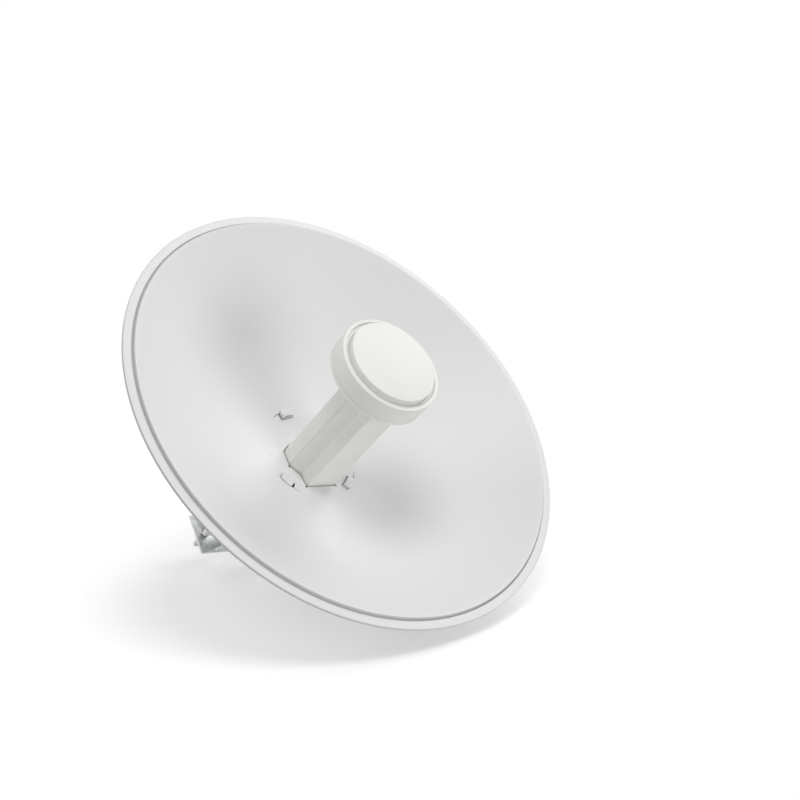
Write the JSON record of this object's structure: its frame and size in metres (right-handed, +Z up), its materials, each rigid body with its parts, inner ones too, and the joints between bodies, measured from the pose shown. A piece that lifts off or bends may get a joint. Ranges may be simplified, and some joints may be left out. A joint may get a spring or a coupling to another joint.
{
  "type": "outdoor wireless bridge",
  "caption": "Round dish radio link: a feed with a drum head stands in a flanged dish, whose rear housing tilts on a toothed pole clamp.",
  "frame": {"origin": "on the axis of the pole that the bracket clamps, level with the dish's axis at rest", "axes": "+Z up along the pole, -Y along the dish's boresight, +X to the right of a viewer who faces the dish"},
  "size_m": [0.42, 0.3058, 0.42],
  "materials": {
    "powder_coated_sheet": "satin",
    "feed_plastic": "satin",
    "housing_plastic": "satin",
    "rubber": "matte",
    "zinc_steel": "satin",
    "bolt_steel": "satin",
    "aluminium": "satin",
    "circuit_board": "satin",
    "tin_plate": "satin",
    "black_plastic": "matte",
    "dielectric": "satin",
    "copper": "satin",
    "window_plastic": "gloss"
  },
  "bodies": {
    "pole_mount": {"clamp_bolt_left": "bolt_steel", "clamp_bolt_right": "bolt_steel", "pivot_bolt": "bolt_steel", "pivot_nut": "bolt_steel", "pivot_washer_left": "bolt_steel", "pivot_washer_right": "bolt_steel", "pole_bracket": "zinc_steel"},
    "clamp_jaw": {"clamp_jaw": "zinc_steel", "clamp_nut_left": "bolt_steel", "clamp_nut_right": "bolt_steel", "clamp_washer_left": "bolt_steel", "clamp_washer_right": "bolt_steel"},
    "dish_assembly": {"bracket_screw_1": "bolt_steel", "bracket_screw_2": "bolt_steel", "bracket_screw_3": "bolt_steel", "bracket_screw_4": "bolt_steel", "carrier_plate": "housing_plastic", "dish_bracket": "zinc_steel", "dish_gasket": "rubber", "dish_reflector": "powder_coated_sheet", "ethernet_jack": "tin_plate", "ethernet_transformer": "black_plastic", "feed_line": "copper", "feed_radiator": "circuit_board", "feed_tube_lower_shell": "feed_plastic", "feed_tube_upper_shell": "feed_plastic", "ground_screw": "copper", "head_base": "feed_plastic", "head_disc": "feed_plastic", "head_drum": "feed_plastic", "head_gasket": "rubber", "heat_spreader": "aluminium", "housing_screw_1": "bolt_steel", "housing_screw_2": "bolt_steel", "housing_screw_3": "bolt_steel", "housing_screw_4": "bolt_steel", "lock_bolt": "bolt_steel", "lock_nut": "bolt_steel", "lock_washer_left": "bolt_steel", "lock_washer_right": "bolt_steel", "main_board": "circuit_board", "radiator_spacer": "dielectric", "rear_housing": "housing_plastic", "reset_switch": "black_plastic", "shield_can": "tin_plate", "status_window": "window_plastic", "subreflector": "aluminium"},
    "cable_door": {"cable_door": "housing_plastic", "cable_grommet": "rubber"},
    "reset_button": {"reset_button": "rubber"},
    "feed_latch": {"feed_latch": "feed_plastic"}
  },
  "joints": [
    {"name": "elevation_hinge", "type": "hinge", "parent": "pole_mount", "child": "dish_assembly", "pos_m": [0, -0.046, 0.011], "axis": [-1, 0, 0], "range_deg": [-20, 20]},
    {"name": "clamp_jaw_slide", "type": "slide", "parent": "pole_mount", "child": "clamp_jaw", "axis": [0, 1, 0], "range_m": [-0.025, 0.003]},
    {"name": "cable_door_slide", "type": "slide", "parent": "dish_assembly", "child": "cable_door", "axis": [0, 1, 0], "range_m": [0, 0.022]},
    {"name": "reset_button_press", "type": "slide", "parent": "dish_assembly", "child": "reset_button", "axis": [0, 0, 1], "range_m": [0, 0.0008], "stiffness_N_per_m": 600},
    {"name": "feed_latch_press", "type": "hinge", "parent": "dish_assembly", "child": "feed_latch", "pos_m": [0.0255, -0.1533, -0.003], "axis": [0, 0, 1], "range_deg": [0, 3.5], "stiffness_Nm_per_rad": 6}
  ]
}
